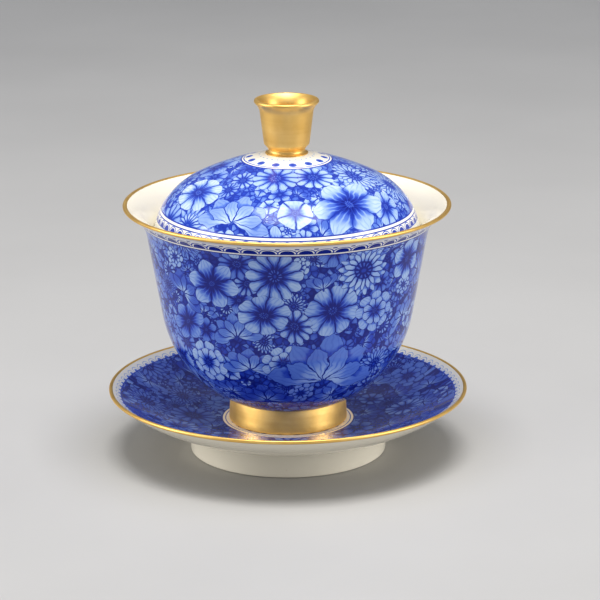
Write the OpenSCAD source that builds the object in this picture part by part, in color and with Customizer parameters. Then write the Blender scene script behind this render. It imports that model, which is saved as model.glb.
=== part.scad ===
// Gaiwan: a covered tea bowl on its saucer, in porcelain.
// Three loose pieces stand on one axis. Z is up and the saucer's foot stands on z = 0.
// Every solid is turned from an outline of arcs that run into each other without a corner.

/* [Saucer] */
// Radius of the saucer over its rim
saucer_r = 55.4; // [52:0.1:60]
// Height of the saucer's rim above the table
saucer_h = 20.4; // [18:0.1:23]
// Height of the flat well that the bowl stands on
well_h = 9.6; // [9:0.1:11]
// Radius of the flat well
well_r = 21; // [20:0.1:24]
// Thickness of the saucer at the well
saucer_wall = 3.2; // [2.6:0.1:3.6]
// Thickness of the saucer at its rim
saucer_lip = 1.1; // [1:0.1:2]
// Outer radius of the saucer's foot ring at the table
saucer_foot_r = 30.3; // [27:0.1:33]
// Thickness of the saucer's foot ring
saucer_foot_wall = 3; // [2:0.1:4]

/* [Bowl] */
// Radius of the bowl over its rim
bowl_r = 50; // [48:0.1:52]
// Height of the bowl from its own foot to its rim
bowl_h = 68.9; // [66:0.1:72]
// Radius of the round belly of the bowl
belly_r = 36.5; // [35.5:0.1:37]
// How far the centre of the belly's curve lies from the axis
belly_offset = 2.5; // [1.5:0.1:2.6]
// Height of the centre of the belly's curve above the bowl's foot
belly_h = 40.6; // [40.2:0.1:41]
// Radius of the curve that turns the wall out to the rim
flare_r = 11.2; // [10:0.1:13]
// Slope of the rim, measured from upright
flare_slope = 68; // [60:1:72]
// Thickness of the bowl's wall at its foot
bowl_wall_t = 2.3; // [2:0.1:2.6]
// Thickness of the bowl's wall where it starts to turn out
bowl_neck_t = 2; // [1.6:0.1:2.2]
// Thickness of the bowl's rim
bowl_lip = 1.1; // [0.9:0.1:1.4]
// Radius of the bowl's foot ring where it joins the belly
bowl_foot_r = 17.9; // [16:0.1:19]
// Thickness of the bowl's foot ring
bowl_foot_wall = 2.5; // [2:0.1:3]
// Height of the recess under the bowl
bowl_recess = 4.9; // [4.6:0.1:5.1]
// Height of the flat floor inside the bowl above the bowl's foot
bowl_floor_h = 7.2; // [6.9:0.1:7.6]

/* [Lid] */
// Radius of the lid at its edge
lid_r = 40.7; // [39.6:0.1:40.9]
// Height of the lid from its edge to the seat of the knob
lid_h = 23.4; // [22.6:0.1:24.4]
// Height of the lid's edge above the bowl's foot, when the lid is on
lid_seat = 60.7; // [60.6:0.1:64]
// Radius of the curve of the dome's crown
crown_r = 100; // [92:1:112]
// How far the centre of the crown's curve lies beyond the axis
crown_offset = 15; // [12:0.5:18]
// Radius of the dome's shoulder
shoulder_r = 22; // [20:0.5:24]
// Thickness of the dome at its crown
crown_t = 2.4; // [2:0.1:3]
// Thickness of the lid at its edge
lid_lip = 1.7; // [1.4:0.1:2]

/* [Knob] */
// Height of the knob
knob_h = 16.7; // [15:0.1:19]
// Radius of the knob over its lip
knob_r = 9.85; // [9:0.05:10.5]
// Radius of the knob's narrow neck
knob_neck_r = 5.6; // [5:0.1:6]
// Radius of the knob's cup at its bottom
knob_cup_r = 6.95; // [6.5:0.05:7.3]
// Thickness of the knob's lip
knob_lip = 1.3; // [1:0.1:1.6]
// Depth of the hollow in the knob
knob_hollow = 10; // [8:0.1:11]

/* [Gilding] */
// Width of the gilt band along the edge of the saucer
saucer_gilt = 0.3; // [0.3:0.1:2]
// Width of the gilt band along the edge of the bowl
bowl_gilt = 0.6; // [0.3:0.1:2]

/* [Hidden] */
ROUND_FN = 160;
ARC_STEPS = 20;
LINE_STEPS = 6;
NOSE_STEPS = 10;
CUT_STEPS = 2;
EDGE_ROUND = 0.6;
FOOT_TAPER = 0.4;
SAUCER_FLOOR = 3;
KNOB_FLARE_R = 4.3;
KNOB_FLARE_SLOPE = 50;
KNOB_CORNER_R = 1;
KNOB_CORNER_H = 3.4;
KNOB_CORNER_START = -70;
KNOB_COVE_R = 0.9;
KNOB_BASE_H = 0.3;
KNOB_COVE_END = 120;

// A path is a list of [radius, height, heading]. The heading is the direction of travel in degrees.

function on_circle(centre, rad, a) = [centre[0] + rad * cos(a), centre[1] + rad * sin(a)];

// An arc from angle a0 to a1. It turns left when the angle grows and right when it falls.
function arc_path(centre, rad, a0, a1, steps) =
    [
        for (i = [0 : steps])
        let (a = a0 + (a1 - a0) * i / steps, p = on_circle(centre, rad, a))
        [p[0], p[1], a + (a1 > a0 ? 90 : -90)]
    ];

// The points strictly between two ends of a straight run.
function line_path(p0, p1, steps) =
    [
        for (i = [1 : steps - 1])
        let (k = i / steps)
        [p0[0] + (p1[0] - p0[0]) * k, p0[1] + (p1[1] - p0[1]) * k, p0[2]]
    ];

// The point at a distance to the right of a path point, or to its left when the distance is negative.
function beside(p, d) = [p[0] + d * sin(p[2]), p[1] - d * cos(p[2])];

function points(path) = [for (p = path) [p[0], p[1]]];

function reversed(list) = [for (i = [len(list) - 1 : -1 : 0]) list[i]];

// The angle that an arc length takes up on a circle.
function degrees_of(length, rad) = length / rad * 180 / PI;

function last(list) = list[len(list) - 1];

// The far side of a wall that starts t0 thick and ends t1 thick. Side is 1 for right and -1 for left.
function far_side(path, t0, t1, side) =
    [for (i = [0 : len(path) - 1]) beside(path[i], side * (t0 + (t1 - t0) * i / (len(path) - 1)))];

// The half round that closes a wall of thickness t after its last point.
function nose(end, t, side) =
    let (centre = beside(end, side * t / 2))
    [
        for (i = [1 : NOSE_STEPS - 1])
        on_circle(centre, t / 2, end[2] + side * (90 - 180 * i / NOSE_STEPS))
    ];

// A wall that climbs a belly arc, runs straight and turns out to its lip on a flare arc.
// The result is [belly and straight run, flare up to the cut, flare after the cut], each a path.
function flared_side(centre, rad, a_start, lip_centre, lip_t, flare, slope, cut) =
    let (
        end = beside([lip_centre[0], lip_centre[1], 90 - slope], lip_t / 2),
        flare_centre = [end[0] + flare * cos(slope), end[1] - flare * sin(slope)],
        across = flare_centre - centre,
        lean = acos((rad + flare) / norm(across)) - atan2(across[1], across[0]),
        a_cut = 180 - slope + degrees_of(cut, flare),
        belly = arc_path(centre, rad, a_start, -lean, ARC_STEPS),
        turn = arc_path(flare_centre, flare, 180 - lean, a_cut, ARC_STEPS)
    )
    [
        concat(belly, line_path(last(belly), turn[0], LINE_STEPS)),
        turn,
        arc_path(flare_centre, flare, a_cut, 180 - slope, CUT_STEPS)
    ];

module turned(outline) {
    rotate_extrude($fn = ROUND_FN)
        polygon(outline);
}

// A ring to stand on, with a rounded tread. It tapers from the tread to the joint above it.
module foot_ring(inner_r, tread_r, joint_r, joint_h) {
    inner_round = [inner_r + EDGE_ROUND, EDGE_ROUND];
    outer_round = [tread_r - EDGE_ROUND, EDGE_ROUND];
    turned(concat(
        [[inner_r, joint_h]],
        points(arc_path(inner_round, EDGE_ROUND, 180, 270, LINE_STEPS)),
        points(arc_path(outer_round, EDGE_ROUND, 270, 360, LINE_STEPS)),
        [[joint_r, joint_h]]
    ));
}

// ---- Saucer ----

// The top face of the dish climbs from the well to the rim on one arc.
lip_rise = saucer_h - saucer_lip / 2 - well_h;
lip_run = saucer_r - saucer_lip / 2 - well_r;
dish_r = (pow(lip_run, 2) + pow(lip_rise, 2) - pow(saucer_lip / 2, 2))
    / (2 * lip_rise + saucer_lip);
dish_centre = [well_r, well_h + dish_r];
dish_end = atan2(lip_rise - dish_r, lip_run);
dish_cut = dish_end - degrees_of(saucer_gilt, dish_r);
dish_top = arc_path(dish_centre, dish_r, -90, dish_cut, ARC_STEPS);
dish_edge = arc_path(dish_centre, dish_r, dish_cut, dish_end, CUT_STEPS);
dish_under = far_side(dish_top, saucer_wall, saucer_lip, 1);
saucer_foot_in = saucer_foot_r - saucer_foot_wall;
saucer_joint_r = saucer_foot_r + FOOT_TAPER;
saucer_joint_h = lookup(saucer_joint_r, dish_under);

module saucer_dish() {
    color("royalblue")
        turned(concat(
            [[0, well_h]],
            points(dish_top),
            reversed([for (p = dish_under) if (p[0] > saucer_joint_r) p]),
            [
                [saucer_joint_r, saucer_joint_h],
                [saucer_foot_in, saucer_joint_h],
                [saucer_foot_in, well_h - SAUCER_FLOOR],
                [0, well_h - SAUCER_FLOOR]
            ]
        ));
}

module saucer_foot_ring() {
    color("ivory")
        foot_ring(saucer_foot_in, saucer_foot_r, saucer_joint_r, saucer_joint_h);
}

module saucer_gilt_rim() {
    color("gold")
        turned(concat(
            points(dish_edge),
            nose(last(dish_edge), saucer_lip, 1),
            reversed(far_side(dish_edge, saucer_lip, saucer_lip, 1))
        ));
}

// ---- Bowl ----

belly_centre = [belly_offset, belly_h];
belly_start = -acos((bowl_foot_r - belly_offset) / belly_r);
bowl_side = flared_side(
    belly_centre, belly_r, belly_start,
    [bowl_r - bowl_lip / 2, bowl_h - bowl_lip / 2], bowl_lip, flare_r, flare_slope, bowl_gilt
);
bowl_joint_h = bowl_side[0][0][1];
bowl_foot_in = bowl_foot_r - bowl_foot_wall;
floor_arc_r = belly_r - bowl_wall_t;
floor_start = asin((bowl_floor_h - belly_h) / floor_arc_r);

module bowl_wall() {
    color("mediumblue")
        translate([0, 0, well_h])
            turned(concat(
                [[0, bowl_recess], [bowl_foot_in, bowl_recess], [bowl_foot_in, bowl_joint_h]],
                points(bowl_side[0]),
                points(bowl_side[1]),
                reversed(far_side(bowl_side[1], bowl_neck_t, bowl_lip, -1)),
                reversed(far_side(bowl_side[0], bowl_wall_t, bowl_neck_t, -1)),
                reversed(points(arc_path(
                    belly_centre, floor_arc_r, floor_start, belly_start - 1, LINE_STEPS
                ))),
                [[0, bowl_floor_h]]
            ));
}

module bowl_foot_ring() {
    color("goldenrod")
        translate([0, 0, well_h])
            foot_ring(bowl_foot_in, bowl_foot_r + FOOT_TAPER, bowl_foot_r, bowl_joint_h);
}

module bowl_gilt_rim() {
    color("gold")
        translate([0, 0, well_h])
            turned(concat(
                points(bowl_side[2]),
                nose(last(bowl_side[2]), bowl_lip, -1),
                reversed(far_side(bowl_side[2], bowl_lip, bowl_lip, -1))
            ));
}

// ---- Lid ----

// The crown's arc starts under the knob's edge. It runs into the tighter arc of the shoulder, which
// ends at the lid's edge.
knob_base_r = knob_neck_r + KNOB_COVE_R;
crown_start = acos((knob_base_r + crown_offset) / crown_r);
crown_centre = [-crown_offset, lid_h - crown_r * sin(crown_start)];
to_edge = [lid_r, 0] - crown_centre;
shoulder_reach = crown_r - shoulder_r;
edge_reach = norm(to_edge);
shoulder_start = atan2(to_edge[1], to_edge[0]) + acos(
    (pow(shoulder_reach, 2) + pow(edge_reach, 2) - pow(shoulder_r, 2))
    / (2 * shoulder_reach * edge_reach)
);
shoulder_centre = on_circle(crown_centre, shoulder_reach, shoulder_start);
shoulder_end = atan2(-shoulder_centre[1], lid_r - shoulder_centre[0]);
dome_top = concat(
    arc_path(crown_centre, crown_r, crown_start, shoulder_start + 1, ARC_STEPS),
    arc_path(shoulder_centre, shoulder_r, shoulder_start, shoulder_end, ARC_STEPS)
);

module lid_dome() {
    color("cornflowerblue")
        translate([0, 0, well_h + lid_seat])
            turned(concat(
                [[0, lid_h]],
                points(dome_top),
                nose(last(dome_top), lid_lip, 1),
                reversed(far_side(dome_top, crown_t, lid_lip, 1)),
                [[0, lid_h - crown_t]]
            ));
}

// The knob is a little cup on a waisted neck.
knob_side = flared_side(
    [knob_cup_r - KNOB_CORNER_R, KNOB_CORNER_H], KNOB_CORNER_R, KNOB_CORNER_START,
    [knob_r - knob_lip / 2, knob_h - knob_lip / 2], knob_lip,
    KNOB_FLARE_R, KNOB_FLARE_SLOPE, KNOB_FLARE_R / 2
);
knob_floor = knob_h - knob_hollow;
knob_outer = concat(knob_side[0], knob_side[1], knob_side[2]);
knob_inner = [for (p = knob_outer) if (p[1] > knob_floor + KNOB_CORNER_R) beside(p, -knob_lip)];
knob_cove_centre = [knob_base_r, KNOB_BASE_H + KNOB_COVE_R];
knob_floor_centre = [knob_inner[0][0] - KNOB_CORNER_R, knob_floor + KNOB_CORNER_R];

module lid_knob() {
    color("goldenrod")
        translate([0, 0, well_h + lid_seat + lid_h])
            turned(concat(
                [[0, 0], [knob_base_r, 0]],
                points(arc_path(knob_cove_centre, KNOB_COVE_R, 270, KNOB_COVE_END, NOSE_STEPS)),
                points(knob_outer),
                nose(last(knob_outer), knob_lip, -1),
                reversed(knob_inner),
                points(arc_path(knob_floor_centre, KNOB_CORNER_R, 0, -90, LINE_STEPS)),
                [[0, knob_floor]]
            ));
}

saucer_dish();
saucer_foot_ring();
saucer_gilt_rim();
bowl_wall();
bowl_foot_ring();
bowl_gilt_rim();
lid_dome();
lid_knob();
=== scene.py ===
"""Porcelain gaiwan: saucer, bowl and lid, painted in cobalt blue and gilt at the rims, foot and knob."""
import math

import bpy
import numpy as np
from mathutils import Matrix, Vector


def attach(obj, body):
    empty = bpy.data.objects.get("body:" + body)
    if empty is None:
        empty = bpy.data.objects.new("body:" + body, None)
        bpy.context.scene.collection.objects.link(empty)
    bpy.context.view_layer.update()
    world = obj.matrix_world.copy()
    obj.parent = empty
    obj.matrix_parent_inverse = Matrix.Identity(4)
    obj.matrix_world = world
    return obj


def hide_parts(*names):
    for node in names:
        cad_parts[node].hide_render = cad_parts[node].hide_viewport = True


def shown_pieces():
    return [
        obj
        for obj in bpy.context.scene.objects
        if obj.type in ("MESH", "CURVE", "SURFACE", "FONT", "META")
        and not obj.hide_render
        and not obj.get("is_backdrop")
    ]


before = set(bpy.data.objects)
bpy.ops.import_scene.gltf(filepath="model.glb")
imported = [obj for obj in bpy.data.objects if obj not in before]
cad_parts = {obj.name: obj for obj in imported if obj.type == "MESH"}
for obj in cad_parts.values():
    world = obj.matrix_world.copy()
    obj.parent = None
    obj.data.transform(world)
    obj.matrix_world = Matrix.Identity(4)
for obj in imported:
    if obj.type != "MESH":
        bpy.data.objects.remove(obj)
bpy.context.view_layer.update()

MM = 0.001
TURN = 2 * math.pi

# ---- Turned meshes ---------------------------------------------------------------------------

SEGMENTS = 320
# A point nearer than this to the axis, or to the plane that outlines are read in, lies on it.
NEAR = 1e-6
# Decimals of a metre in an outline's points, and in points of two outlines that are compared.
DECIMALS = 6
SHARED_DECIMALS = 5
# The CAD's facets lie inside its true circles, so the turned meshes are drawn in by as much.
INSIDE = 0.9997
# An outline bends by more than this at a corner.
CORNER_ANGLE = math.radians(25)
# Faces that meet at more than this are shaded with a sharp edge between them.
SHARP_ANGLE = math.radians(35)


def seam_links(mesh):
    """The points of a turned mesh on the half plane beside the axis, each with its neighbours there."""
    on_seam = {}
    for vertex in mesh.vertices:
        x, y, z = vertex.co
        if abs(y) < NEAR and x > -NEAR:
            on_seam[vertex.index] = (round(abs(x), DECIMALS), round(z, DECIMALS))
    links = {}
    for edge in mesh.edges:
        a, b = (on_seam.get(v) for v in edge.vertices)
        if a and b and a != b:
            links.setdefault(a, set()).add(b)
            links.setdefault(b, set()).add(a)
    return links


def in_to_axis(end):
    """The point on the axis at the height of an outline's end. An end on the axis needs none."""
    radius, height = end
    return [(0.0, height)] if radius > 0 else []


def has_solid_on_left(path):
    onward = np.roll(path, -1, axis=0)
    return np.sum(path[:, 0] * onward[:, 1] - onward[:, 0] * path[:, 1]) > 0


def outline_of(node):
    """The outline that a CAD node was turned from, as (radius, height) in metres."""
    links = seam_links(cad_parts[node].data)
    ends = [point for point in links if len(links[point]) == 1]
    path = [min(ends or links)]
    while onward := [point for point in links[path[-1]] if point not in path]:
        path.append(onward[0])
    if ends:
        path = in_to_axis(path[0]) + path + in_to_axis(path[-1])
    path = np.array(path)
    return path if has_solid_on_left(path) else path[::-1]


def corners(path, sides):
    """Which points of a closed outline are corners: sharp bends, and points on the axis."""
    headings = np.arctan2(sides[:, 1], sides[:, 0])
    bends = headings - np.roll(headings, 1)
    bends = np.abs((bends + math.pi) % TURN - math.pi)
    return (bends > CORNER_ANGLE) | (path[:, 0] == 0)


def tangents(sides, lengths):
    """The direction of the curve at each point, which the shorter of its two sides decides more."""
    after = lengths[:, None]
    before = np.roll(lengths, 1)[:, None]
    back = np.roll(sides, 1, axis=0)
    return (sides / after * before + back / before * after) / (after + before)


def on_curve(start, end, leave, arrive, t):
    """The point at t, from 0 to 1, on the cubic between two points with given directions there."""
    return (
        start * (2 * t**3 - 3 * t**2 + 1) + leave * (t**3 - 2 * t**2 + t)
        + end * (3 * t**2 - 2 * t**3) + arrive * (t**3 - t**2)
    )


def refined(path, step):
    """A closed outline with curves between its corners and points no more than a step apart."""
    sides = np.roll(path, -1, axis=0) - path
    lengths = np.linalg.norm(sides, axis=1)
    is_corner = corners(path, sides)
    tangent = tangents(sides, lengths)
    points = []
    for i, start in enumerate(path):
        j = (i + 1) % len(path)
        if start[0] == 0 and path[j][0] == 0:
            points.append(start)
            continue
        leave = sides[i] if is_corner[i] else tangent[i] * lengths[i]
        arrive = sides[i] if is_corner[j] else tangent[j] * lengths[i]
        for t in np.arange(0, 1, 1 / max(1, math.ceil(lengths[i] / step))):
            points.append(on_curve(start, path[j], leave, arrive, t))
    return np.clip(points, path.min(axis=0), path.max(axis=0))


def is_marked(path, i, test):
    """Whether a test of (outward normal, middle) holds for the side of an outline that leaves point i."""
    start = path[i]
    end = path[(i + 1) % len(path)]
    along = (end - start) / np.linalg.norm(end - start)
    return bool(test((along[1], -along[0]), (start + end) / 2))


def marked_run(path, test):
    """The longest unbroken stretch of an outline whose sides pass the test."""
    runs = []
    run = []
    for i in list(range(len(path))) * 2:
        if is_marked(path, i, test) and len(run) < len(path):
            run.append(path[i])
        elif run:
            runs.append(run + [path[i]])
            run = []
    return np.array(max(runs, key=len))


def lathe(path):
    """The vertices of a turned outline and, for each of its points, the indices round its ring."""
    angles = np.arange(SEGMENTS) * TURN / SEGMENTS
    vertices = []
    rings = []
    for radius, height in path:
        first = len(vertices)
        if radius < NEAR:
            vertices.append((0, 0, height))
            rings.append([first] * SEGMENTS)
            continue
        across = radius * INSIDE
        vertices += [(across * math.cos(a), across * math.sin(a), height) for a in angles]
        rings.append(list(range(first, first + SEGMENTS)))
    return vertices, rings


def band(ring, onward):
    """The faces between two rings: quads, or triangles where one ring is a point on the axis."""
    faces = []
    for here in range(SEGMENTS):
        there = (here + 1) % SEGMENTS
        loop = [ring[here], ring[there], onward[there], onward[here]]
        faces.append([corner for k, corner in enumerate(loop) if corner != loop[k - 1]])
    return faces


def turned_mesh(name, path, materials, second):
    """A closed turned mesh. A side for which second(normal, middle) holds gets the second material."""
    vertices, rings = lathe(path)
    faces = []
    index = []
    for i, ring in enumerate(rings):
        onward = rings[(i + 1) % len(rings)]
        if ring[0] == ring[1] and onward[0] == onward[1]:
            continue
        faces += band(ring, onward)
        index += [int(second is not None and is_marked(path, i, second))] * SEGMENTS
    mesh = bpy.data.meshes.new(name)
    mesh.from_pydata(vertices, [], faces)
    for material in materials:
        mesh.materials.append(material)
    mesh.polygons.foreach_set("material_index", index)
    mesh.shade_smooth()
    mesh.set_sharp_from_angle(angle=SHARP_ANGLE)
    mesh.update()
    return mesh


def turned_piece(node, body, step, materials, second=None):
    """The turned piece that stands for a CAD node."""
    name = node + "_turned"
    mesh = turned_mesh(name, refined(outline_of(node), step), materials, second)
    piece = bpy.data.objects.new(name, mesh)
    bpy.context.scene.collection.objects.link(piece)
    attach(piece, body)
    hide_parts(node)
    return piece


# ---- Node trees written as arithmetic --------------------------------------------------------


class Wire:
    """A number in a node tree. Arithmetic on wires adds Math nodes."""

    def __init__(self, tree, socket):
        self.tree = tree
        self.socket = socket

    def __add__(self, other):
        return calc("ADD", self, other)

    def __radd__(self, other):
        return calc("ADD", other, self)

    def __sub__(self, other):
        return calc("SUBTRACT", self, other)

    def __rsub__(self, other):
        return calc("SUBTRACT", other, self)

    def __mul__(self, other):
        return calc("MULTIPLY", self, other)

    def __truediv__(self, other):
        return calc("DIVIDE", self, other)

    def __rtruediv__(self, other):
        return calc("DIVIDE", other, self)

    def __abs__(self):
        return calc("ABSOLUTE", self)

    def __lt__(self, other):
        return calc("LESS_THAN", self, other)

    def __gt__(self, other):
        return calc("GREATER_THAN", self, other)


def feed(tree, socket, value):
    """Links a wire to a socket, or sets the socket to a number."""
    if isinstance(value, Wire):
        tree.links.new(value.socket, socket)
    else:
        socket.default_value = value


def calc(operation, *values):
    tree = next(value.tree for value in values if isinstance(value, Wire))
    node = tree.nodes.new("ShaderNodeMath")
    node.operation = operation
    for socket, value in zip(node.inputs, values):
        feed(tree, socket, value)
    return Wire(tree, node.outputs[0])


def smooth(value, low, high):
    """0 below low, 1 above high, with a smooth step between."""
    node = value.tree.nodes.new("ShaderNodeMapRange")
    node.interpolation_type = "SMOOTHSTEP"
    feed(value.tree, node.inputs["Value"], value)
    feed(value.tree, node.inputs["From Min"], low)
    feed(value.tree, node.inputs["From Max"], high)
    return Wire(value.tree, node.outputs[0])


def within(value, limit, soft):
    """1 below a limit, fading to 0 over a soft edge beyond it."""
    return 1 - smooth(value, limit, limit + soft)


def stripe(value, middle, half_width, soft):
    """1 on a line of a given half width around a middle value."""
    return within(abs(value - middle), half_width, soft)


def blend(share, a, b):
    return a + (b - a) * share


def squared(value):
    return value * value


def hypotenuse(a, b, flatness=1.0):
    """The distance from a centre that lies a and b away. Flatness above 1 shortens shapes along b."""
    return calc("SQRT", squared(a) + squared(b) * flatness)


def split(tree, socket):
    node = tree.nodes.new("ShaderNodeSeparateXYZ")
    tree.links.new(socket, node.inputs[0])
    return [Wire(tree, output) for output in node.outputs]


def joined(tree, *values):
    node = tree.nodes.new("ShaderNodeCombineXYZ")
    for socket, value in zip(node.inputs, values):
        feed(tree, socket, value)
    return node.outputs[0]


def position(tree):
    return tree.nodes.new("ShaderNodeTexCoord").outputs["Object"]


def attribute(tree, name):
    node = tree.nodes.new("ShaderNodeAttribute")
    node.attribute_name = name
    return node.outputs


def moved(tree, vector, shift):
    """The sum of two vectors."""
    node = tree.nodes.new("ShaderNodeVectorMath")
    node.operation = "ADD"
    tree.links.new(vector, node.inputs[0])
    tree.links.new(shift, node.inputs[1])
    return node.outputs[0]


def noise_node(tree, scale, detail, stretch=None):
    """Noise with a feature size of 1 / scale metres. Stretch scales the three axes first."""
    place = position(tree)
    if stretch:
        mapping = tree.nodes.new("ShaderNodeMapping")
        mapping.inputs["Scale"].default_value = stretch
        tree.links.new(place, mapping.inputs["Vector"])
        place = mapping.outputs[0]
    node = tree.nodes.new("ShaderNodeTexNoise")
    node.inputs["Scale"].default_value = scale
    node.inputs["Detail"].default_value = detail
    tree.links.new(place, node.inputs["Vector"])
    return node


def noise(tree, scale, detail=3.0, stretch=None):
    return Wire(tree, noise_node(tree, scale, detail, stretch).outputs["Fac"])


def voronoi_node(tree, scale, feature="F1"):
    node = tree.nodes.new("ShaderNodeTexVoronoi")
    node.feature = feature
    node.inputs["Scale"].default_value = scale
    tree.links.new(position(tree), node.inputs["Vector"])
    return node


def ramp(value, stops):
    node = value.tree.nodes.new("ShaderNodeValToRGB")
    feed(value.tree, node.inputs[0], value)
    elements = node.color_ramp.elements
    while len(elements) < len(stops):
        elements.new(1.0)
    for element, (place, colour) in zip(elements, stops):
        element.position = place
        element.color = (*colour, 1)
    return node.outputs[0]


def add_bump(shader, height, distance, strength):
    tree = height.tree
    node = tree.nodes.new("ShaderNodeBump")
    node.inputs["Distance"].default_value = distance
    node.inputs["Strength"].default_value = strength
    feed(tree, node.inputs["Height"], height)
    tree.links.new(node.outputs[0], shader.inputs["Normal"])


def new_material(name):
    material = bpy.data.materials.new(name)
    material.use_nodes = True
    return material, material.node_tree, material.node_tree.nodes["Principled BSDF"]


# ---- The painted flower ----------------------------------------------------------------------
# Inks run from 0 for bare porcelain to 1 for the darkest line. Lengths are in petal lengths.

# As many flowers may lie over each other at one place.
LAYERS = 4
FLOWER_SOCKETS = ("At", "Cut", "Look", "Tip")
# The ink changes from the heart's to the tip's between these places along a petal.
HEART_ENDS = 0.08
TIP_STARTS = 0.66
# Veins: how dense and thin they are, how far they draw the heart's ink out, and their own ink.
VEIN_DENSITY = 7.0
VEIN_THINNESS = 10.0
VEIN_DRAW = 0.25
VEIN_INK = 0.14
# The shadow of the front ring of petals on the back ring.
SHADOW_WIDTH = 0.14
SHADOW_INK = 0.3
# Width of a drawn line in millimetres. It is full to one share of that and gone at the other.
LINE = 0.25
LINE_FULL = 0.45
LINE_GONE = 1.2
# The eye has a ring of seeds and a dot. Their places and sizes are shares of its radius.
SEEDS = 11.0
SEED_RING = 0.68
SEED_WIDTH = 0.13
SEED_SOFT = 0.03
DOT_FULL = 0.15
DOT_GONE = 0.3
# Keeps the place across a petal from growing without end at its tip.
LEAST_WIDTH = 0.02


def petal_row(x, y, count, half_cell, span, width, pointed):
    """One ring or fan of petals: (distance inside its edge, place along a petal, place across it)."""
    angle = calc("ARCTAN2", x, y)
    number = calc("FLOOR", angle * count / TURN + half_cell + 0.5) - half_cell
    axis = number * TURN / count
    off_axis = angle - axis
    reach = calc("SQRT", squared(x) + squared(y))
    along = calc("MINIMUM", calc("MAXIMUM", reach * calc("COSINE", off_axis), 0.0), 1.0)
    across = reach * calc("SINE", off_axis)
    profile = along * calc("POWER", 1 - along, pointed) * width
    wedge = reach * (math.pi / count - abs(off_axis))
    edge = calc("MINIMUM", profile - abs(across), wedge)
    kept = abs(axis) < span
    return edge * kept - (1 - kept), along, across / (profile + LEAST_WIDTH)


def eye_ink(x, y, reach, eye):
    """Dark, with a ring of pale seeds and a pale dot in the middle."""
    angle = calc("ARCTAN2", x, y)
    between = smooth(calc("COSINE", angle * SEEDS), 0.1, 0.6)
    seeds = between * stripe(reach, eye * SEED_RING, eye * SEED_WIDTH, SEED_SOFT)
    dot = 1 - smooth(reach, eye * DOT_FULL, eye * DOT_GONE)
    return 1.0 - calc("MAXIMUM", seeds, dot * 0.6) * 0.5


def flower_group():
    """A flower painted in its own plane. At holds x, y and one over the petal length in mm."""
    tree = bpy.data.node_groups.new("painted_flower", "ShaderNodeTree")
    for name in FLOWER_SOCKETS:
        tree.interface.new_socket(name, in_out="INPUT", socket_type="NodeSocketVector")
    tree.interface.new_socket("Below", in_out="INPUT", socket_type="NodeSocketFloat")
    tree.interface.new_socket("Ink", in_out="OUTPUT", socket_type="NodeSocketFloat")
    given = tree.nodes.new("NodeGroupInput").outputs
    x, y, per_mm = split(tree, given["At"])
    count, span, width = split(tree, given["Cut"])
    front, eye, tip = split(tree, given["Look"])
    pointed, veined, heart = split(tree, given["Tip"])
    back_edge, back_along, back_across = petal_row(x, y, count, 0.0, span, width, pointed)
    near_edge, near_along, near_across = petal_row(
        x / front, y / front, count, 0.5, span, width, pointed
    )
    near_edge = near_edge * front
    is_near = near_edge > 0
    edge = blend(is_near, back_edge, near_edge)
    along = blend(is_near, back_along, near_along)
    across = blend(is_near, back_across, near_across)
    veins = calc("POWER", abs(calc("COSINE", across * VEIN_DENSITY)), VEIN_THINNESS)
    toward_tip = smooth(along + (veins - 0.5) * VEIN_DRAW * veined, HEART_ENDS, TIP_STARTS)
    shadow = (1 - is_near) * within(near_edge * -1, 0.0, SHADOW_WIDTH) * SHADOW_INK
    petal = heart + toward_tip * (tip - heart) + veins * veined * VEIN_INK + shadow
    line = per_mm * LINE
    petal = blend(1 - smooth(edge, line * LINE_FULL, line * LINE_GONE), petal, 1.0)
    reach = calc("SQRT", squared(x) + squared(y))
    in_eye = reach < eye
    cover = calc("MAXIMUM", edge > 0, in_eye)
    below = Wire(tree, given["Below"])
    ink = blend(cover, below, blend(in_eye, petal, eye_ink(x, y, reach, eye)))
    tree.links.new(ink.socket, tree.nodes.new("NodeGroupOutput").inputs["Ink"])
    return tree


def attribute_name(layer, socket):
    return f"flower{layer}_{socket.lower()}"


def flower_layers(tree, ink, drift):
    """Paints the stored flowers over the ground, the lowest first. Drift moves them in their planes."""
    group = bpy.data.node_groups.get("painted_flower") or flower_group()
    for layer in reversed(range(LAYERS)):
        node = tree.nodes.new("ShaderNodeGroup")
        node.node_tree = group
        for name in FLOWER_SOCKETS:
            stored = attribute(tree, attribute_name(layer, name))["Vector"]
            given = moved(tree, stored, drift) if name == "At" else stored
            tree.links.new(given, node.inputs[name])
        feed(tree, node.inputs["Below"], ink)
        ink = Wire(tree, node.outputs["Ink"])
    return ink


# ---- Materials -------------------------------------------------------------------------------

INK_COLOURS = [
    (0.0, (0.87, 0.84, 0.75)),
    (0.05, (0.84, 0.845, 0.81)),
    (0.12, (0.66, 0.75, 0.84)),
    (0.24, (0.37, 0.52, 0.79)),
    (0.46, (0.10, 0.20, 0.64)),
    (0.72, (0.016, 0.050, 0.46)),
    (1.0, (0.004, 0.010, 0.19)),
]
WHITE_COLOURS = [
    (0.0, (0.84, 0.79, 0.67)),
    (0.6, (0.87, 0.825, 0.705)),
    (1.0, (0.78, 0.71, 0.56)),
]
GOLD_COLOURS = [
    (0.3, (0.78, 0.47, 0.115)),
    (0.55, (0.86, 0.56, 0.17)),
    (0.75, (0.92, 0.64, 0.23)),
]
GLAZE_IOR = 1.5
GLAZE_SPECULAR = 0.27
GLAZE_ROUGHNESS = 0.09
MIST_SCALE = 900.0
MIST_ROUGHNESS = 0.06
RIPPLE_SCALE = 70.0
RIPPLE_DEPTH = 0.00025
GOLD_ROUGHNESS = 0.38
BRUSH_SCALE = 55.0
BRUSH_STRETCH = (1, 1, 14)
BRUSH_DEPTH = 0.00004
PEBBLE_SCALE = 560.0
WASH_SCALE = 110.0
WASH = 0.22
DRIFT_SCALE = 260.0
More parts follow.
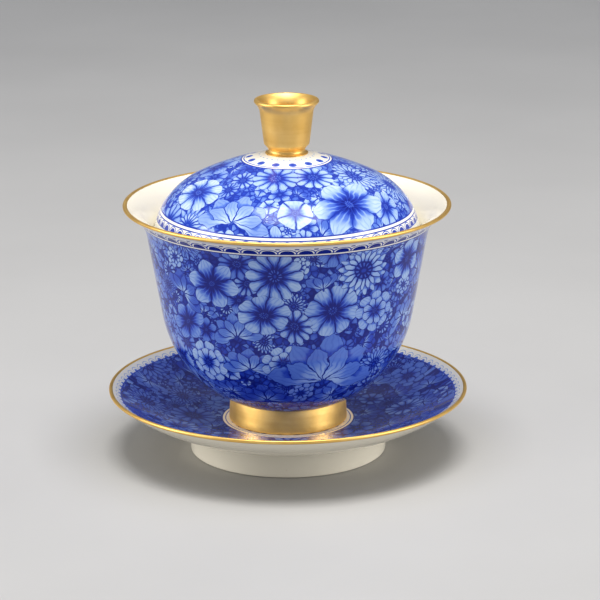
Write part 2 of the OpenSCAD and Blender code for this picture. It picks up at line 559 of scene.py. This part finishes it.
DRIFT = 0.24


def add_glaze(tree, shader):
    """Clear glaze: a sharp gloss over a faintly rippled surface."""
    shader.inputs["IOR"].default_value = GLAZE_IOR
    shader.inputs["Specular IOR Level"].default_value = GLAZE_SPECULAR
    mist = noise(tree, MIST_SCALE) * MIST_ROUGHNESS
    feed(tree, shader.inputs["Roughness"], GLAZE_ROUGHNESS + mist)
    add_bump(shader, noise(tree, RIPPLE_SCALE, 2.0), RIPPLE_DEPTH, 0.5)


def white_porcelain():
    """Warm white with faint clouds and a few specks."""
    material, tree, shader = new_material("white_porcelain")
    speck_distance = Wire(tree, voronoi_node(tree, 260.0).outputs["Distance"])
    shade = noise(tree, 60.0, 4.0) * 0.8 + within(speck_distance, 0.03, 0.03) * 0.5
    tree.links.new(ramp(shade, WHITE_COLOURS), shader.inputs["Base Color"])
    add_glaze(tree, shader)
    return material


def gilding():
    """Satin gold, brushed on round the axis and a little uneven."""
    material, tree, shader = new_material("gilding")
    brushed = noise(tree, BRUSH_SCALE, 4.0, BRUSH_STRETCH)
    cloud = noise(tree, 190.0, 4.0)
    uneven = brushed * 0.4 + cloud * 0.6
    tree.links.new(ramp(uneven, GOLD_COLOURS), shader.inputs["Base Color"])
    shader.inputs["Metallic"].default_value = 1.0
    feed(tree, shader.inputs["Roughness"], GOLD_ROUGHNESS + brushed * 0.06 + cloud * 0.08)
    add_bump(shader, uneven, BRUSH_DEPTH, 0.5)
    return material


def pebbled_ground(tree):
    """The ground between the flowers: cells of different inks with dark lines between them."""
    cells = voronoi_node(tree, PEBBLE_SCALE)
    lot = split(tree, cells.outputs["Color"])[0]
    from_seed = Wire(tree, cells.outputs["Distance"])
    borders = voronoi_node(tree, PEBBLE_SCALE, "DISTANCE_TO_EDGE")
    from_border = Wire(tree, borders.outputs["Distance"])
    pebble = 0.2 + lot * 0.65 + from_seed * 0.35
    return blend(smooth(from_border, 0.05, 0.12), 1.0, pebble)


def unsteady_hand(tree):
    """A small shift from place to place, so that no drawn line is quite true."""
    x, y, _ = split(tree, noise_node(tree, DRIFT_SCALE, 2.0).outputs["Color"])
    return joined(tree, (x - 0.5) * DRIFT, (y - 0.5) * DRIFT, 0.0)


def place_on_piece(tree):
    """Radius and distance from the gilt edge in mm, and the angle round the axis."""
    x, y, _ = split(tree, position(tree))
    return {
        "radius": calc("SQRT", squared(x) + squared(y)) / MM,
        "angle": calc("ARCTAN2", y, x),
        "edge": Wire(tree, attribute(tree, "from_edge_mm")["Fac"]),
    }


def painted_porcelain(name, border, palest, deepest):
    """Porcelain painted with flowers in a range of inks. Border(place, ink) paints the bands."""
    material, tree, shader = new_material(name)
    ink = flower_layers(tree, pebbled_ground(tree), unsteady_hand(tree))
    wash = (noise(tree, WASH_SCALE, 4.0) - 0.5) * WASH
    # Palest and deepest are set per piece: darker on the bowl and saucer, partly as painted shade.
    ink = palest + ink * (deepest - palest) + wash
    ink = border(place_on_piece(tree), ink)
    tree.links.new(ramp(ink, INK_COLOURS), shader.inputs["Base Color"])
    add_glaze(tree, shader)
    return material


# ---- Borders ---------------------------------------------------------------------------------
# Lengths are in mm. A line is (place, half width, ink). A motif that repeats round the axis has
# its own width, so that shapes in it are measured across (-0.5 to 0.5 of a cell) times that width.
# A fill is (radius of the full shape, width of its soft edge).

# Ink of the bands that are left white.
BARE = 0.02
# Over this width a painted edge fades.
SOFT = 0.08

BOWL_BAND = 6.3
BOWL_LINES = [(5.5, 0.13, 1.0), (6.35, 0.14, 1.0)]
BOWL_LINE_SOFT = 0.06
ARCHES = 52
CELL_WIDTH = 5.5
# Arches are drawn a little narrower than their cells.
ARCH_WIDTH = CELL_WIDTH * math.sqrt(0.8)
ARCH_BASE = 5.4
ARCH_FLATNESS = 1.15
ARCH_FILL = (1.85, 0.1)
ARCH_LINE = (2.5, 0.15, 0.9)
DASH_FILL = (0.55, 0.15)
DASH_SOFT = 0.1
DASH_LINE = (2.75, 0.3, 1.0)
BOWL_BORDER_INK = 0.97

LID_RING = 13.7
LID_RING_LINES = [(13.0, 0.12, 0.8), (13.8, 0.16, 1.0)]
OVALS = 14
OVAL_TURN = 0.155
OVAL_WIDTH = 3.85
OVAL_RADIUS = 11.4
OVAL_FLATNESS = 0.65
OVAL_FILL = (0.82, 0.18)
# Ovals are this dark in the middle and lose so much for each mm from it.
OVAL_INK = 0.95
OVAL_FADE = 0.35
BEADS = 28
BEAD_WIDTH = 1.8
BEAD_RADIUS = 8.3
BEAD_FILL = (0.2, 0.2)
BEAD_INK = 0.35
LID_RING_INK = 0.84
LID_BAND = 7.5
LID_LINES = [(4.0, 0.1, 0.7), (6.35, 0.14, 1.0), (7.5, 0.16, 1.0)]
LID_SCALLOPS = 60
LID_SCALLOP_WIDTH = 4.1
LID_SCALLOP_BASE = 4.1
LID_SCALLOP_FILL = (1.35, 0.15)
LID_SCALLOP_LINE = (1.9, 0.1, 0.8)
LID_BORDER_INK = 0.8

WELL_RING = 20.4
WELL_LINES = [(19.4, 0.12, 0.6), (20.5, 0.15, 1.0)]
WELL_OVALS = 22
WELL_OVAL_WIDTH = 3.6
WELL_OVAL_RADIUS = 17.2
WELL_OVAL_FILL = (0.85, 0.15)
WELL_OVAL_INK = 0.85
WELL_RING_INK = 0.9
SAUCER_BAND = 3.0
SAUCER_LINES = [(3.0, 0.12, 1.0)]
SAUCER_SCALLOPS = 96
SAUCER_SCALLOP_WIDTH = 3.55
SAUCER_SCALLOP_FLATNESS = 0.7
SAUCER_SCALLOP_FILL = (0.7, 0.25)
SAUCER_SCALLOP_INK = 0.65
SAUCER_SCALLOP_LINE = (1.5, 0.06, 0.45)
SAUCER_BORDER_INK = 0.72


def repeats(angle, count, shift=0.0):
    """Place within one of a number of equal cells round the axis, from -0.5 to 0.5."""
    return calc("FRACT", angle * (count / TURN) + shift + 0.5) - 0.5


def lines(value, rows, soft=SOFT):
    """The ink of several lines."""
    middle, half_width, strength = rows[0]
    ink = stripe(value, middle, half_width, soft) * strength
    return ink + lines(value, rows[1:], soft) if rows[1:] else ink


def paint(marks, ink, deepest):
    """Marks over an ink. Where they overlap they grow no darker than one."""
    return blend(calc("MINIMUM", marks, 1.0), ink, deepest)


def bowl_border(place, ink):
    """Under the rim: a white band with dashes, then dark arches with a thin arch over each."""
    edge = place["edge"]
    ink = blend(edge < BOWL_BAND, ink, BARE)
    above = ARCH_BASE - edge
    from_foot = hypotenuse(repeats(place["angle"], ARCHES) * ARCH_WIDTH, above, ARCH_FLATNESS)
    arches = (within(from_foot, *ARCH_FILL) + lines(from_foot, [ARCH_LINE])) * (above > 0)
    off_dash = abs(repeats(place["angle"], ARCHES, 0.5)) * CELL_WIDTH
    dashes = within(off_dash, *DASH_FILL) * lines(edge, [DASH_LINE], DASH_SOFT)
    marks = arches + dashes + lines(edge, BOWL_LINES, BOWL_LINE_SOFT)
    return paint(marks, ink, BOWL_BORDER_INK)


def knob_ring(place, ink):
    """Round the knob: a white ring with beads, ovals and two lines."""
    radius = place["radius"]
    ink = blend(radius < LID_RING, ink, BARE)
    across = repeats(place["angle"], OVALS, OVAL_TURN) * OVAL_WIDTH
    from_oval = hypotenuse(across, radius - OVAL_RADIUS, OVAL_FLATNESS)
    ovals = within(from_oval, *OVAL_FILL) * (OVAL_INK - from_oval * OVAL_FADE)
    from_bead = hypotenuse(repeats(place["angle"], BEADS, 0.5) * BEAD_WIDTH, radius - BEAD_RADIUS)
    beads = within(from_bead, *BEAD_FILL) * BEAD_INK
    return paint(ovals + beads + lines(radius, LID_RING_LINES), ink, LID_RING_INK)


def lid_border(place, ink):
    """The ring round the knob, and at the edge a white line over a band of scallops."""
    ink = knob_ring(place, ink)
    edge = place["edge"]
    ink = blend(edge < LID_BAND, ink, BARE)
    above = edge - LID_SCALLOP_BASE
    from_foot = hypotenuse(repeats(place["angle"], LID_SCALLOPS) * LID_SCALLOP_WIDTH, above)
    scallops = within(from_foot, *LID_SCALLOP_FILL) + lines(from_foot, [LID_SCALLOP_LINE])
    return paint(scallops * (above > 0) + lines(edge, LID_LINES), ink, LID_BORDER_INK)


def well_ring(place, ink):
    """Round the saucer's well: a white ring with ovals inside it and two lines."""
    radius = place["radius"]
    ink = blend(radius < WELL_RING, ink, BARE)
    across = repeats(place["angle"], WELL_OVALS) * WELL_OVAL_WIDTH
    from_oval = hypotenuse(across, radius - WELL_OVAL_RADIUS)
    ovals = within(from_oval, *WELL_OVAL_FILL) * WELL_OVAL_INK
    return paint(ovals + lines(radius, WELL_LINES), ink, WELL_RING_INK)


def saucer_border(place, ink):
    """The ring round the well, and at the edge a pale scalloped band."""
    ink = well_ring(place, ink)
    edge = place["edge"]
    in_band = edge < SAUCER_BAND
    ink = blend(in_band, ink, BARE)
    across = repeats(place["angle"], SAUCER_SCALLOPS) * SAUCER_SCALLOP_WIDTH
    from_foot = hypotenuse(across, edge - SAUCER_BAND, SAUCER_SCALLOP_FLATNESS)
    scallops = within(from_foot, *SAUCER_SCALLOP_FILL) * SAUCER_SCALLOP_INK
    scallops = scallops + lines(from_foot, [SAUCER_SCALLOP_LINE])
    return paint(scallops * in_band + lines(edge, SAUCER_LINES), ink, SAUCER_BORDER_INK)


# ---- Where the flowers lie -------------------------------------------------------------------

ALL_ROUND = 180
NO_FRONT = 0.001
# Petals in the full turn, half spread in degrees, fullness, how pointed they are, size of the
# front ring, radius of the eye, inks at tip and heart, strength of the veins, and how far the
# base lies below the middle. Lengths are in petal lengths.
KINDS = {
    "daisy": (12, ALL_ROUND, 1.15, 0.34, NO_FRONT, 0.27, 0.06, 1.0, 0.5, 0.0),
    "cosmos": (8, ALL_ROUND, 1.12, 0.30, NO_FRONT, 0.17, 0.04, 0.95, 0.9, 0.0),
    "sunflower": (17, ALL_ROUND, 1.15, 0.50, 0.80, 0.38, 0.08, 1.0, 0.4, 0.0),
    "peony": (8, ALL_ROUND, 1.15, 0.42, 0.66, 0.13, 0.04, 0.95, 0.9, 0.0),
    "lily": (6, ALL_ROUND, 1.00, 0.62, NO_FRONT, 0.13, 0.05, 1.0, 1.0, 0.0),
    "mum": (20, ALL_ROUND, 1.15, 0.60, 0.68, 0.12, 0.10, 0.95, 0.3, 0.0),
    "lotus": (8, 92, 1.10, 0.72, 0.78, 0.05, 0.30, 0.0, 0.6, 0.40),
    "tulip": (9, 52, 1.20, 0.70, 0.82, 0.06, 0.45, 0.02, 0.7, 0.5),
    "leaf": (12, 36, 1.10, 1.00, NO_FRONT, 0.04, 0.35, 0.85, 0.9, 0.5),
    "blossom": (5, ALL_ROUND, 1.15, 0.26, NO_FRONT, 0.24, 0.03, 0.75, 0.5, 0.0),
    "star": (6, ALL_ROUND, 0.95, 0.55, 0.45, 0.18, 0.08, 0.85, 0.4, 0.0),
}
FULL_KINDS = ["daisy", "cosmos", "sunflower", "peony", "lily", "mum", "lotus", "lotus", "tulip"]
SMALL_KINDS = ["blossom", "blossom", "star", "daisy", "tulip", "leaf"]
# Scattered flowers, the largest first: their kinds, least and greatest size in mm, and the least
# gap between two flowers as a share of their sizes together.
LEVELS = [
    (FULL_KINDS, (6.0, 8.5), 0.62),
    (FULL_KINDS, (3.6, 5.2), 0.60),
    (SMALL_KINDS, (2.2, 3.2), 0.62),
    (SMALL_KINDS, (1.2, 1.8), 0.66),
]
PLANTED_CROWDING = 0.4
# Large flowers with a place of their own: kind, size and height in mm, and in degrees the angle
# round the axis, where -90 faces the camera, and the lean.
BOWL_FLOWERS = [
    ("lotus", 16.5, 37, -71, -6),
    ("cosmos", 8, 54, -100, 12),
    ("daisy", 8.5, 66, -95, 0),
    ("sunflower", 8.5, 66, -58, 0),
    ("lily", 9, 62, -122, 20),
    ("peony", 7, 38, -92, 25),
    ("tulip", 7, 64, -76, 10),
    ("lotus", 9, 38, -108, 0),
    ("peony", 7, 52, -50, 0),
]
LID_FLOWERS = [
    ("lotus", 12, 83, -116, -6),
    ("lily", 13, 84, -55, 20),
    ("blossom", 5, 83, -86, 0),
    ("cosmos", 9, 85, -150, 0),
    ("daisy", 7, 90, -100, 0),
    ("daisy", 6.5, 90, -66, 0),
]
# The ink at the tips varies by chance: a little paler, or darker by up to a fade.
PALER = 0.04
SCATTERED_FADE = 0.26
PLANTED_FADE = 0.06
# Flowers are drawn as if seen a little from the side: height over width.
FORESHORTENED = (0.72, 1.0)
# How widely flowers with a stalk side lean, in radians.
LEAN_SPREAD = 0.9
# A flower's paint reaches this far, as a share of its size and a margin for the unsteady hand.
PAINT_REACH = 1.12
PAINT_MARGIN = 0.8 * MM
# Radians added to a spread, so that a petal right at its end is kept.
SPREAD_MARGIN = 0.02
# Where no flower lies: far outside every petal.
NOWHERE = (9, 9, 1)


def kind_numbers(kind, fade, rng):
    """The nine numbers that the flower group reads besides a flower's place, and its base."""
    petals, spread, fullness, pointed, front, eye, tip, heart, veins, base = KINDS[kind]
    peak_at = 1 / (1 + pointed)
    peak = peak_at * (1 - peak_at) ** pointed
    width = fullness * peak_at * math.tan(math.pi / petals) / peak
    span = math.radians(spread) + SPREAD_MARGIN
    tip = tip + rng.uniform(-PALER, fade)
    return (petals, span, width, front, eye, tip, pointed, veins, heart), base


class Garden:
    """Flowers over one turned surface. The first ones lie on top."""

    def __init__(self, path, seed):
        self.path = path
        self.rng = np.random.default_rng(seed)
        self.steps = np.linalg.norm(np.diff(path, axis=0), axis=1)
        self.area = np.cumsum(self.steps * (path[1:, 0] + path[:-1, 0]))
        self.centres = np.empty((0, 3))
        self.sizes = np.empty(0)
        self.rights = []
        self.ups = []
        self.bases = []
        self.numbers = []

    def anywhere(self):
        """A step of the outline, picked so that every patch of the surface is equally likely."""
        share = self.rng.uniform() * self.area[-1]
        return min(int(np.searchsorted(self.area, share)), len(self.steps) - 1)

    def at_height(self, height):
        return int(np.argmin(np.abs(self.path[:-1, 1] - height)))

    def surface_at(self, step, angle):
        """The middle of a step and the directions round the axis and up the surface there."""
        run = (self.path[step + 1] - self.path[step]) / self.steps[step]
        run = run * math.copysign(1, run[1])
        radius, height = (self.path[step] + self.path[step + 1]) / 2
        out = np.array([math.cos(angle), math.sin(angle), 0.0])
        around = np.array([-out[1], out[0], 0.0])
        axis = np.array([0.0, 0.0, 1.0])
        return out * radius + axis * height, around, out * run[0] + axis * run[1]

    def plant(self, kind, size, step, angle, lean, crowding, fade):
        """Adds a flower unless it would crowd one that is there. Lean turns it in the surface."""
        centre, around, up = self.surface_at(step, angle)
        gaps = np.linalg.norm(self.centres - centre, axis=1)
        if np.any(gaps < crowding * (self.sizes + size)):
            return
        self.centres = np.vstack([self.centres, centre])
        self.sizes = np.append(self.sizes, size)
        numbers, base = kind_numbers(kind, fade, self.rng)
        top = up * math.cos(lean) - around * math.sin(lean)
        self.rights.append(around * math.cos(lean) + up * math.sin(lean))
        self.ups.append(top / self.rng.uniform(*FORESHORTENED))
        self.bases.append(base)
        self.numbers.append(numbers)

    def plant_chosen(self, chosen):
        for kind, size, height, angle, lean in chosen:
            self.plant(
                kind, size * MM, self.at_height(height * MM), math.radians(angle),
                math.radians(lean), PLANTED_CROWDING, PLANTED_FADE,
            )

    def scatter(self, kinds, sizes, crowding, tries):
        for _ in range(tries):
            kind = kinds[self.rng.integers(len(kinds))]
            _, spread, *_ = KINDS[kind]
            is_round = spread == ALL_ROUND
            lean = self.rng.uniform(0, TURN) if is_round else self.rng.normal(0, LEAN_SPREAD)
            size = self.rng.uniform(*sizes) * MM
            step = self.anywhere()
            angle = self.rng.uniform(0, TURN)
            self.plant(kind, size, step, angle, lean, crowding, SCATTERED_FADE)

    def uppermost(self, middles):
        """For each face, the flowers that lie over its middle, from the top, and -1 for none."""
        reaches = self.sizes * PAINT_REACH + PAINT_MARGIN
        top = np.full((len(middles), LAYERS), -1)
        filled = np.zeros(len(middles), int)
        for i, centre in enumerate(self.centres):
            is_over = np.linalg.norm(middles - centre, axis=1) < reaches[i]
            faces = np.flatnonzero(is_over & (filled < LAYERS))
            top[faces, filled[faces]] = i
            filled[faces] += 1
        return top

    def places(self, points, pick):
        """Where points lie in the planes of the flowers picked for them, and one over their size."""
        offsets = (points - self.centres[pick]) / self.sizes[pick][:, None]
        x = np.sum(offsets * np.array(self.rights)[pick], axis=1)
        y = np.sum(offsets * np.array(self.ups)[pick], axis=1) + np.array(self.bases)[pick]
        places = np.stack([x, y, MM / self.sizes[pick]], axis=1)
        places[pick < 0] = NOWHERE
        return places

    def store(self, mesh):
        """Writes the flowers over each face to its corners, for the painted material."""
        top = self.uppermost(vectors(mesh.polygons, "center"))
        loop_vertex = np.empty(len(mesh.loops), int)
        mesh.loops.foreach_get("vertex_index", loop_vertex)
        points = vectors(mesh.vertices, "co")[loop_vertex]
        loop_face = np.repeat(np.arange(len(mesh.polygons)), [p.loop_total for p in mesh.polygons])
        numbers = np.array(self.numbers)
        for layer in range(LAYERS):
            pick = top[loop_face, layer]
            groups = [self.places(points, pick), *np.split(numbers[pick], 3, axis=1)]
            for socket, values in zip(FLOWER_SOCKETS, groups):
                name = attribute_name(layer, socket)
                stored = mesh.attributes.new(name, "FLOAT_VECTOR", "CORNER")
                stored.data.foreach_set("vector", values.astype(np.float32).ravel())


def vectors(collection, name):
    """One vector of every vertex or face of a mesh."""
    values = np.empty(len(collection) * 3)
    collection.foreach_get(name, values)
    return values.reshape(-1, 3)


def store_edge_distance(mesh, path, edge_point):
    """Stores how far each vertex lies along the outline from an edge, in millimetres."""
    steps = np.linalg.norm(np.roll(path, -1, axis=0) - path, axis=1)
    run = np.concatenate([[0], np.cumsum(steps[:-1])])
    at_edge = np.argmin(np.linalg.norm(path - edge_point, axis=1))
    run = np.abs(run - run[at_edge]) / MM
    ring_sizes = np.where(path[:, 0] < NEAR, 1, SEGMENTS)
    stored = mesh.attributes.new("from_edge_mm", "FLOAT", "POINT")
    stored.data.foreach_set("value", np.repeat(run, ring_sizes).astype(np.float32))


# ---- The pieces ------------------------------------------------------------------------------

# Longest steps along the outlines.
FINE = 0.9 * MM
COARSE = 1.5 * MM
# The lid is painted down to this far below its widest point.
EDGE_MARGIN = 0.1 * MM
# Of each painted piece the body, border, palest and deepest ink, seed, number of flowers tried at
# each level, and flowers with a place of their own.
# The inks are set darker on the bowl and the saucer than on the lid, partly for their real painting and
# partly as painted shade, since they lie more in shade than the lid.
PAINTINGS = {
    "bowl_wall": ("bowl", bowl_border, 0.26, 1.0, 7, (600, 2500, 7000, 12000), BOWL_FLOWERS),
    "lid_dome": ("lid", lid_border, 0.19, 0.82, 11, (300, 1500, 4000, 7000), LID_FLOWERS),
    "saucer_dish": ("saucer", saucer_border, 0.36, 1.0, 5, (400, 1500, 4000, 7000), []),
}


def shared_point(node, other):
    """The outermost point that two nodes' outlines have in common."""
    ours, theirs = (
        {tuple(point) for point in np.round(outline_of(name), SHARED_DECIMALS)}
        for name in (node, other)
    )
    return np.array(max(ours & theirs))


def painted_piece(node, edge_point, is_painted, white):
    """A turned piece painted where a test of (normal, middle) holds, and white elsewhere."""
    body, border, palest, deepest, seed, tries, chosen = PAINTINGS[node]
    colours = painted_porcelain(node + "_paint", border, palest, deepest)
    piece = turned_piece(node, body, FINE, [white, colours], is_painted)
    path = refined(outline_of(node), FINE)
    store_edge_distance(piece.data, path, edge_point)
    garden = Garden(marked_run(path, is_painted), seed)
    garden.plant_chosen(chosen)
    for (kinds, sizes, crowding), count in zip(LEVELS, tries):
        garden.scatter(kinds, sizes, crowding, count)
    garden.store(piece.data)


def build_painted_pieces(white):
    foot_radius = shared_point("bowl_wall", "bowl_foot_ring")[0]
    painted_piece(
        "bowl_wall", shared_point("bowl_wall", "bowl_gilt_rim"),
        lambda normal, middle: normal[0] > 0.05 and normal[1] < 0.3 and middle[0] > foot_radius,
        white,
    )
    lid_edge = max(outline_of("lid_dome"), key=lambda point: point[0])
    painted_piece(
        "lid_dome", lid_edge,
        lambda normal, middle: normal[1] > 0.05 and middle[1] > lid_edge[1] - EDGE_MARGIN,
        white,
    )
    painted_piece(
        "saucer_dish", min(outline_of("saucer_gilt_rim"), key=lambda point: point[0]),
        lambda normal, middle: normal[1] > 0.5,
        white,
    )


def build_plain_pieces(white, gold):
    turned_piece("saucer_foot_ring", "saucer", COARSE, [white])
    turned_piece("saucer_gilt_rim", "saucer", FINE, [gold])
    turned_piece("bowl_gilt_rim", "bowl", FINE, [gold])
    turned_piece("bowl_foot_ring", "bowl", FINE, [gold])
    turned_piece("lid_knob", "lid", FINE, [gold])


# ---- Floor, light and camera -----------------------------------------------------------------

# The floor turns up into a low wall, so that there is no horizon from any side.
FLOOR_RADIUS = 1.6
WALL_RADIUS = 3.0
WALL_HEIGHT = 1.6
BEND_STEPS = 24
FLOOR_SEGMENTS = 128
FLOOR_COLOURS = [
    (0.3, (0.56, 0.56, 0.565)),
    (0.7, (0.60, 0.60, 0.605)),
]
WORLD_COLOUR = (0.84, 0.86, 0.90, 1)
WORLD_STRENGTH = 0.46
LAMP_COLOUR = (1.0, 0.97, 0.92)
LAMPS_AIM_AT = Vector((0, 0, 0.06))
# Soft boxes: name, place, width, height, power, and the group of pieces that a lamp is kept to.
LAMPS = [
    ("left", (-1.75, -0.32, 0.62), 0.80, 1.20, 24.0, "all_pieces"),
    ("right", (1.70, -0.62, 0.62), 0.80, 1.20, 23.0, "all_pieces"),
    ("top", (0.02, -0.12, 0.95), 0.60, 0.50, 8.7, None),
    ("foot_left", (-1.60, -0.50, 0.50), 0.60, 0.80, 45.0, "bowl_foot"),
    ("foot_right", (1.55, -0.60, 0.50), 0.60, 0.80, 45.0, "bowl_foot"),
]
CAMERA_AT = Vector((0.0, -0.813, 0.280))
LOOK_AT = Vector((0.0, 0.0, 0.0473))
PAN = math.radians(-0.271)
ROLL = math.radians(-0.22)
LENS = 165.0
SENSOR = 36.0


def cove_mesh():
    """A round floor that bends up into a wall."""
    bend = WALL_RADIUS - FLOOR_RADIUS
    turns = np.linspace(0, math.pi / 2, BEND_STEPS + 1)
    profile = [(FLOOR_RADIUS + bend * math.sin(a), bend * (1 - math.cos(a))) for a in turns]
    profile.append((WALL_RADIUS, WALL_HEIGHT))
    angles = np.arange(FLOOR_SEGMENTS) * TURN / FLOOR_SEGMENTS
    vertices = [(r * math.cos(a), r * math.sin(a), z) for r, z in profile for a in angles]
    faces = [list(range(FLOOR_SEGMENTS))]
    for i in range(len(profile) - 1):
        low = i * FLOOR_SEGMENTS
        high = low + FLOOR_SEGMENTS
        for k in range(FLOOR_SEGMENTS):
            n = (k + 1) % FLOOR_SEGMENTS
            faces.append([low + k, high + k, high + n, low + n])
    mesh = bpy.data.meshes.new("floor")
    mesh.from_pydata(vertices, [], faces)
    mesh.shade_smooth()
    return mesh


def floor_paint():
    """Matt pale grey with faint clouds."""
    material, tree, shader = new_material("floor")
    cloud = noise(tree, 7.0, 6.0)
    tree.links.new(ramp(cloud, FLOOR_COLOURS), shader.inputs["Base Color"])
    feed(tree, shader.inputs["Roughness"], 0.55 + cloud * 0.1)
    return material


def build_floor():
    mesh = cove_mesh()
    mesh.materials.append(floor_paint())
    floor = bpy.data.objects.new("floor", mesh)
    bpy.context.scene.collection.objects.link(floor)
    floor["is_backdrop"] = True


def build_world():
    world = bpy.data.worlds.new("studio")
    world.use_nodes = True
    background = world.node_tree.nodes["Background"]
    background.inputs["Color"].default_value = WORLD_COLOUR
    background.inputs["Strength"].default_value = WORLD_STRENGTH
    bpy.context.scene.world = world


def lit_group(name, pieces):
    """A collection of pieces for lamps that light only them."""
    group = bpy.data.collections.new(name)
    for piece in pieces:
        group.objects.link(piece)
    return group


def build_lamp(name, place, width, height, power, only):
    """A soft box. With only, a collection, it lights nothing else."""
    light = bpy.data.lights.new(name, "AREA")
    light.shape = "RECTANGLE"
    light.size = width
    light.size_y = height
    light.energy = power
    light.color = LAMP_COLOUR
    lamp = bpy.data.objects.new(name, light)
    bpy.context.scene.collection.objects.link(lamp)
    lamp.light_linking.receiver_collection = only
    lamp.location = place
    aim = LAMPS_AIM_AT - Vector(place)
    lamp.rotation_euler = aim.to_track_quat("-Z", "Y").to_euler()


def build_light():
    build_world()
    groups = {
        "all_pieces": lit_group("lit_from_the_sides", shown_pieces()),
        "bowl_foot": lit_group("bowl_foot_only", [bpy.data.objects["bowl_foot_ring_turned"]]),
    }
    for name, place, width, height, power, lights in LAMPS:
        build_lamp(name, place, width, height, power, groups.get(lights))


def build_camera():
    forward = Matrix.Rotation(PAN, 3, "Z") @ (LOOK_AT - CAMERA_AT).normalized()
    level_right = forward.cross(Vector((0, 0, 1))).normalized()
    level_up = level_right.cross(forward)
    right = level_right * math.cos(ROLL) + level_up * math.sin(ROLL)
    up = level_up * math.cos(ROLL) - level_right * math.sin(ROLL)
    data = bpy.data.cameras.new("camera")
    data.lens = LENS
    data.sensor_width = SENSOR
    data.clip_start = 0.01
    data.clip_end = 50.0
    camera = bpy.data.objects.new("camera", data)
    turn = Matrix((right, up, -forward)).transposed().to_4x4()
    camera.matrix_world = Matrix.Translation(CAMERA_AT) @ turn
    bpy.context.scene.collection.objects.link(camera)
    bpy.context.scene.camera = camera


white = white_porcelain()
gold = gilding()
build_painted_pieces(white)
build_plain_pieces(white, gold)
build_floor()
build_light()
build_camera()
bpy.context.scene.view_settings.view_transform = "Standard"
